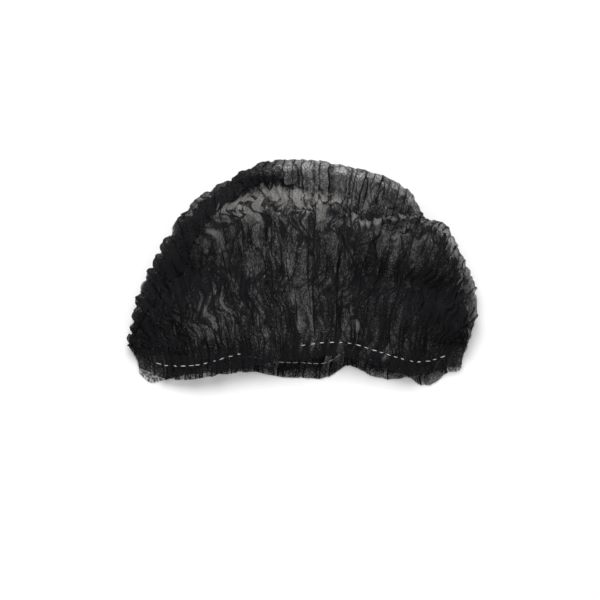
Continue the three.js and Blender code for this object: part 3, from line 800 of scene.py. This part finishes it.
def grid_mesh(name, points, uv, values):
    """A mesh of quads over a grid of points in millimetres, with named values at the points."""
    columns, rows = points.shape[:2]
    index = np.arange(columns * rows).reshape(columns, rows)
    quads = np.stack((index[:-1, :-1], index[1:, :-1], index[1:, 1:], index[:-1, 1:]), -1).reshape(-1, 4)
    mesh = bpy.data.meshes.new(name)
    mesh.from_pydata((points.reshape(-1, 3) * MM).tolist(), [], quads.tolist())
    mesh.polygons.foreach_set("use_smooth", np.ones(len(quads), bool))
    layer = mesh.uv_layers.new(name="cloth")
    layer.data.foreach_set("uv", uv.reshape(-1, 2)[quads.ravel()].astype(np.float32).ravel())
    for value_name, value in values.items():
        attribute = mesh.attributes.new(value_name, "FLOAT", "POINT")
        attribute.data.foreach_set("value", value.ravel().astype(np.float32))
    mesh.update()
    return add_object(name, mesh)


cloth_uv = np.stack(np.broadcast_arrays(cloth_column * CLOTH_WIDTH, row_place), -1) * MM


def cloth_piece(name, first=0, last=CLOTH_COLUMNS):
    """The mesh of one part of the cloth, from its first to its last column."""
    cut = (slice(first, last + 1), CLOTH_ROWS[name])
    values = {"layering": layering[cut], "creasing": creasing[cut], "painted_light": painted_light[cut]}
    return grid_mesh(name + "_cloth", cloth[cut], cloth_uv[cut], values)


# Materials

def new_material(name):
    """A new material, its nodes and links, and its shader node."""
    material = bpy.data.materials.new(name)
    material.use_nodes = True
    nodes, links = material.node_tree.nodes, material.node_tree.links
    shader = nodes["Principled BSDF"]
    return material, nodes, links, shader


def math_node(nodes, links, operation, first, second=None, third=None):
    """The output of a math node that takes numbers or other nodes' outputs."""
    node = nodes.new("ShaderNodeMath")
    node.operation = operation
    for socket, value in zip(node.inputs, (first, second, third)):
        if value is None:
            continue
        if isinstance(value, (int, float)):
            socket.default_value = value
        else:
            links.new(value, socket)
    return node.outputs[0]


BLACK = (0.008, 0.008, 0.009)
TAB_BLACK = (0.02, 0.02, 0.021)
# Painted light: the pale grey that stands in for light shining through thin cloth
PAINTED_LIGHT_COLOR = (0.46, 0.445, 0.423)
THREAD_COLOR = (0.75, 0.74, 0.7)

# Textures of the cloth. Scales are waves or cells for each metre, and the others make up its thickness.
CLOUD_SCALE = 120
CLOUD_STRENGTH = 2.4
CLOUD_LEAST = -0.2
DOT_SCALE = 800
DOT_RADIUS = 0.28
DOT_THICKNESS = 0.5
LEAST_THICKNESS = 0.1
TWIST_SCALE = 2500

# The painted light on thin cloth, a pale grey standing in for light shining through it, shows between its
# fibres: by this factor of their thickness, and this offset
PAINTED_LIGHT_BY_FIBRES = -0.5
PAINTED_LIGHT_OFFSET = 1.4

# The Mix node has sockets of one name for numbers, vectors and colours, so these are found by place.
MIX_FACTOR, MIX_FIRST, MIX_SECOND, MIX_RESULT = 0, 6, 7, 2

# Two sizes of crease cells: cells for each metre across and along the cloth, half width of the lines in
# cells, and their thickness. WARP moves the cells by up to half of it, in metres.
WARP = 0.012
WARP_SCALE = 110
CREASES = (
    (66, 44, 0.055, 4.2),
    (160, 90, 0.06, 1.9),
)


def crease_lines(nodes, links, place):
    """Extra thickness along branching crease lines: the borders of cells that are long along the pleats."""
    warp = nodes.new("ShaderNodeTexNoise")
    warp.inputs["Scale"].default_value = WARP_SCALE
    warp.inputs["Detail"].default_value = 3
    links.new(place, warp.inputs["Vector"])
    centred = nodes.new("ShaderNodeVectorMath")
    centred.operation = "MULTIPLY_ADD"
    centred.inputs[1].default_value = (WARP, WARP, 0)
    centred.inputs[2].default_value = (-WARP / 2, -WARP / 2, 0)
    links.new(warp.outputs["Color"], centred.inputs[0])
    warped = nodes.new("ShaderNodeVectorMath")
    links.new(place, warped.inputs[0])
    links.new(centred.outputs[0], warped.inputs[1])
    amount = nodes.new("ShaderNodeAttribute")
    amount.attribute_name = "creasing"
    total = None
    for cells_across, cells_along, line, strength in CREASES:
        scaled = nodes.new("ShaderNodeVectorMath")
        scaled.operation = "MULTIPLY"
        scaled.inputs[1].default_value = (cells_across, cells_along, 1)
        links.new(warped.outputs[0], scaled.inputs[0])
        cells = nodes.new("ShaderNodeTexVoronoi")
        cells.feature = "DISTANCE_TO_EDGE"
        cells.inputs["Scale"].default_value = 1
        links.new(scaled.outputs[0], cells.inputs["Vector"])
        near = math_node(nodes, links, "MULTIPLY_ADD", cells.outputs["Distance"], -1 / line, 1)
        near = math_node(nodes, links, "MAXIMUM", near, 0.0)
        near = math_node(nodes, links, "MULTIPLY", near, strength)
        total = near if total is None else math_node(nodes, links, "ADD", total, near)
    return math_node(nodes, links, "MULTIPLY", total, amount.outputs["Fac"])


def fabric_material(name, color, cover, fibre_scale=900, fibre_contrast=6.0):
    """Thin nonwoven fabric: fibres, cloudy thickness and small bonded dots. Cover is how opaque it is
    where its thickness is 1."""
    material, nodes, links, shader = new_material(name)
    place = nodes.new("ShaderNodeUVMap")
    place.uv_map = "cloth"
    fibres = nodes.new("ShaderNodeTexNoise")
    fibres.inputs["Scale"].default_value = fibre_scale
    fibres.inputs["Detail"].default_value = 3
    fibres.inputs["Roughness"].default_value = 0.7
    cloud = nodes.new("ShaderNodeTexNoise")
    cloud.inputs["Scale"].default_value = CLOUD_SCALE
    cloud.inputs["Detail"].default_value = 4
    dots = nodes.new("ShaderNodeTexVoronoi")
    dots.inputs["Scale"].default_value = DOT_SCALE
    for node in (fibres, cloud, dots):
        links.new(place.outputs["UV"], node.inputs["Vector"])
    density = nodes.new("ShaderNodeAttribute")
    density.attribute_name = "layering"
    least_fibre = 1 - 0.5 * fibre_contrast
    fibre_part = math_node(nodes, links, "MULTIPLY_ADD", fibres.outputs["Fac"], fibre_contrast, least_fibre)
    cloud_part = math_node(nodes, links, "MULTIPLY_ADD", cloud.outputs["Fac"], CLOUD_STRENGTH, CLOUD_LEAST)
    dot_part = math_node(nodes, links, "LESS_THAN", dots.outputs["Distance"], DOT_RADIUS)
    dot_part = math_node(nodes, links, "MULTIPLY", dot_part, DOT_THICKNESS)
    thickness = math_node(nodes, links, "MULTIPLY", fibre_part, cloud_part)
    thickness = math_node(nodes, links, "MAXIMUM", thickness, LEAST_THICKNESS)
    thickness = math_node(nodes, links, "ADD", thickness, dot_part)
    creases = crease_lines(nodes, links, place.outputs["UV"])
    thickness = math_node(nodes, links, "MULTIPLY", thickness, density.outputs["Fac"])
    thickness = math_node(nodes, links, "ADD", thickness, creases)
    through = math_node(nodes, links, "POWER", 1 - cover, thickness)
    links.new(math_node(nodes, links, "SUBTRACT", 1.0, through), shader.inputs["Alpha"])
    # Painted light: where the cloth lies thin, its colour is mixed towards a pale grey, less on creases and
    # on fibres, standing in for light shining through it
    painted_light_attribute = nodes.new("ShaderNodeAttribute")
    painted_light_attribute.attribute_name = "painted_light"
    uncreased = math_node(nodes, links, "MINIMUM", creases, 1.0)
    uncreased = math_node(nodes, links, "SUBTRACT", 1.0, uncreased)
    between_fibres = math_node(nodes, links, "MULTIPLY_ADD", fibre_part, PAINTED_LIGHT_BY_FIBRES, PAINTED_LIGHT_OFFSET)
    between_fibres.node.use_clamp = True
    uncreased = math_node(nodes, links, "MULTIPLY", uncreased, between_fibres)
    blend = nodes.new("ShaderNodeMix")
    blend.data_type = "RGBA"
    painted_light_share = math_node(nodes, links, "MULTIPLY", uncreased, painted_light_attribute.outputs["Fac"])
    links.new(painted_light_share, blend.inputs[MIX_FACTOR])
    blend.inputs[MIX_FIRST].default_value = (*color, 1)
    blend.inputs[MIX_SECOND].default_value = (*PAINTED_LIGHT_COLOR, 1)
    links.new(blend.outputs[MIX_RESULT], shader.inputs["Base Color"])
    shader.inputs["Roughness"].default_value = 0.8
    shader.inputs["Specular IOR Level"].default_value = 0.05
    return material


def thread_material(name, color):
    """Pale twisted thread."""
    material, nodes, links, shader = new_material(name)
    place = nodes.new("ShaderNodeTexCoord")
    twist = nodes.new("ShaderNodeTexNoise")
    twist.inputs["Scale"].default_value = TWIST_SCALE
    links.new(place.outputs["Object"], twist.inputs["Vector"])
    ramp = nodes.new("ShaderNodeValToRGB")
    ramp.color_ramp.elements[0].color = (*(0.8 * value for value in color), 1)
    ramp.color_ramp.elements[1].color = (*color, 1)
    links.new(twist.outputs["Fac"], ramp.inputs["Fac"])
    links.new(ramp.outputs["Color"], shader.inputs["Base Color"])
    shader.inputs["Roughness"].default_value = 0.7
    return material


crown_fabric = fabric_material("crown_fabric", BLACK, cover=0.55)
rim_fabric = fabric_material("rim_fabric", BLACK, cover=0.75)
tab_fabric = fabric_material("tab_fabric", TAB_BLACK, cover=0.55, fibre_scale=700, fibre_contrast=14.0)
elastic_thread = thread_material("elastic_thread", THREAD_COLOR)

# Pieces

crown_front = cloth_piece("crown_front")
crown_fold = cloth_piece("crown_fold")
crown_back = cloth_piece("crown_back")
front_rim = cloth_piece("front_rim")

# The share of the back rim's width that each end tab takes
TAB_SHARE = 2 / 18
TAB_COLUMNS, TAB_ROWS = 40, 30
TAB_HEIGHT = 1.0
TAB_WAVE = 0.5
back_share = share[:, CLOTH_ROWS["back_rim"]].mean(1)
tab_first = int(np.searchsorted(back_share, TAB_SHARE))
tab_last = int(np.searchsorted(back_share, 1 - TAB_SHARE))
back_rim = cloth_piece("back_rim", tab_first, tab_last)


def end_tab(name, first, last):
    """The flat welded end of the strip."""
    across = np.linspace(first, last, TAB_COLUMNS)
    surface = rim_surface("back", across, np.linspace(0, 1, TAB_ROWS))
    surface[..., 1] += Y_SHIFT
    wave = noise(surface[..., 0] / 7, surface[..., 1] / 6, seed=41)
    surface[..., 2] = TAB_HEIGHT + TAB_WAVE * wave
    uv = surface[..., :2] * MM
    values = {"layering": 0.8, "creasing": 0.1, "painted_light": 0.0}
    values = {value_name: np.full(surface.shape[:2], value) for value_name, value in values.items()}
    return grid_mesh(name + "_cloth", surface, uv, values)


left_tab = end_tab("left_end_tab", 0.0, TAB_SHARE)
right_tab = end_tab("right_end_tab", 1 - TAB_SHARE, 1.0)


# A stitch is a thin tube with this many sides and rings. It rides this high over the rim's middle
# surface, bows up in its middle, and is thin at both ends.
STITCH_SIDES = 8
STITCH_RINGS = 7
STITCH_HEIGHT = 3.1
STITCH_BOW = 0.35
STITCH_END = 0.12


def stitches(name, piece, stretches, pitch, dash, radius, outside):
    """A row of stitches that ride on the tops of a rim's folds, from and to shares of its length."""
    from_hem = HEM_WIDTH / RIM_DEPTH
    down_rim = from_hem if piece == "front_rim" else 1 - from_hem
    row = BASE_ROWS[piece].start + round(down_rim * (len(RIM_SHARES) - 1))
    line = base[:, row]
    ways = out_way[:, row] * (1 if outside else -1)
    steps = np.pad(np.cumsum(np.linalg.norm(np.diff(line, axis=0), axis=-1)), (1, 0))
    turn = np.linspace(0, 2 * math.pi, STITCH_SIDES, endpoint=False)
    bow = STITCH_BOW * np.sin(np.linspace(0, math.pi, STITCH_RINGS))
    taper = np.sin(np.linspace(STITCH_END, math.pi - STITCH_END, STITCH_RINGS))
    taper = np.sqrt(np.maximum(taper, 0.05))
    vertices, faces = [], []
    start = stretches[0][0] * steps[-1]
    rng = np.random.default_rng(51)
    while start < stretches[-1][1] * steps[-1]:
        if not any(first <= start / steps[-1] <= last for first, last in stretches):
            start += pitch
            continue
        length = dash * rng.uniform(0.75, 1.15)
        spots = np.linspace(start, start + length, STITCH_RINGS)
        middle = np.stack([np.interp(spots, steps, line[:, axis]) for axis in range(3)], -1)
        out = np.stack([np.interp(spots, steps, ways[:, axis]) for axis in range(3)], -1)
        middle = middle + out * (STITCH_HEIGHT + bow + rng.uniform(-0.15, 0.15))[:, None]
        middle[:, 1] += rng.uniform(-0.25, 0.25) * np.linspace(-1, 1, STITCH_RINGS)
        along = np.gradient(middle, axis=0)
        along /= np.linalg.norm(along, axis=-1, keepdims=True)
        third = np.cross(along, out)
        thin = radius * rng.uniform(0.75, 1.15) * taper
        first_vertex = len(vertices)
        for spot in range(STITCH_RINGS):
            around = np.cos(turn)[:, None] * out[spot] + np.sin(turn)[:, None] * third[spot]
            vertices.extend(((middle[spot] + thin[spot] * around) * MM).tolist())
        for spot in range(STITCH_RINGS - 1):
            for corner in range(STITCH_SIDES):
                ring = first_vertex + spot * STITCH_SIDES
                this, following = ring + corner, ring + (corner + 1) % STITCH_SIDES
                faces.append((this, following, following + STITCH_SIDES, this + STITCH_SIDES))
        last_ring = first_vertex + (STITCH_RINGS - 1) * STITCH_SIDES
        faces.append(tuple(first_vertex + corner for corner in reversed(range(STITCH_SIDES))))
        faces.append(tuple(last_ring + corner for corner in range(STITCH_SIDES)))
        start += pitch * rng.uniform(0.85, 1.2)
    mesh = bpy.data.meshes.new(name)
    mesh.from_pydata(vertices, [], faces)
    mesh.polygons.foreach_set("use_smooth", np.ones(len(faces), bool))
    return add_object(name, mesh)


FRONT_STRETCHES = ((0.07, 0.315), (0.48, 0.94))
BACK_STRETCHES = ((0.3, 0.7),)
front_stitches = stitches(
    "front_elastic_stitches", "front_rim", FRONT_STRETCHES, pitch=6.0, dash=3.1, radius=0.25, outside=True
)
back_stitches = stitches(
    "back_elastic_stitches", "back_rim", BACK_STRETCHES, pitch=5.0, dash=4.4, radius=0.2, outside=False
)

for obj, node, material, slot_name in (
    (crown_front, "crown", crown_fabric, "crown_fabric"),
    (crown_fold, "crown", crown_fabric, "crown_fabric"),
    (crown_back, "crown", crown_fabric, "crown_fabric"),
    (front_rim, "front_rim", rim_fabric, "rim_fabric"),
    (back_rim, "back_rim", rim_fabric, "rim_fabric"),
    (left_tab, "left_end_tab", tab_fabric, "tab_fabric"),
    (right_tab, "right_end_tab", tab_fabric, "tab_fabric"),
    (front_stitches, "front_elastic", elastic_thread, "elastic"),
    (back_stitches, "back_elastic", elastic_thread, "elastic"),
):
    obj.data.materials.append(material)
    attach(obj, "root")
    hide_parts(node)


# Stage

TABLE_HALF_SIDE = 2.5
KEY_PLACE = (-0.1, 0.75, 1.6)
KEY_SIZE = 1.1
KEY_POWER = 24
WORLD_STRENGTH = 0.6
LAYERS_SEEN_THROUGH = 48


def add_floor():
    """The white table."""
    mesh = bpy.data.meshes.new("table_top")
    side = TABLE_HALF_SIDE
    corners = [(-side, -side, 0), (side, -side, 0), (side, side, 0), (-side, side, 0)]
    mesh.from_pydata(corners, [], [(0, 1, 2, 3)])
    floor = add_object("table_top", mesh)
    material, nodes, links, shader = new_material("white_table")
    shader.inputs["Base Color"].default_value = (0.93, 0.93, 0.93, 1)
    shader.inputs["Roughness"].default_value = 0.9
    shader.inputs["Specular IOR Level"].default_value = 0.0
    mesh.materials.append(material)


def add_area_light(name, place, size, power):
    """A round soft light that points at the cap."""
    light = bpy.data.lights.new(name, "AREA")
    light.shape = "DISK"
    light.size = size
    light.energy = power
    obj = add_object(name, light)
    obj.location = place
    obj.rotation_euler = (-Vector(place)).to_track_quat("-Z", "Y").to_euler()


add_floor()
add_area_light("key", KEY_PLACE, KEY_SIZE, KEY_POWER)
world = bpy.data.worlds.new("studio")
world.use_nodes = True
background = world.node_tree.nodes["Background"]
background.inputs["Color"].default_value = (1, 1, 1, 1)
background.inputs["Strength"].default_value = WORLD_STRENGTH
bpy.context.scene.world = world
bpy.context.scene.view_settings.view_transform = "Standard"
bpy.context.scene.cycles.transparent_max_bounces = LAYERS_SEEN_THROUGH

# The camera looks down from this elevation, and the cap lies above the picture's middle. MM_PER_PIXEL is
# the scale at the aim point.
CAMERA_ELEVATION = math.radians(84)
CAMERA_DISTANCE = 1.3
CAMERA_SENSOR = 36
PICTURE_WIDTH = 600
MM_PER_PIXEL = 0.737
aim = Vector((-1.6 * MM, -22 * MM, 0.012))
view_way = Vector((0, -math.cos(CAMERA_ELEVATION), math.sin(CAMERA_ELEVATION)))
camera = add_object("camera", bpy.data.cameras.new("camera"))
camera.data.sensor_width = CAMERA_SENSOR
camera.data.lens = CAMERA_SENSOR * CAMERA_DISTANCE / (PICTURE_WIDTH * MM_PER_PIXEL * MM)
camera.location = aim + CAMERA_DISTANCE * view_way
camera.rotation_euler = (math.pi / 2 - CAMERA_ELEVATION, 0, 0)
bpy.context.scene.camera = camera
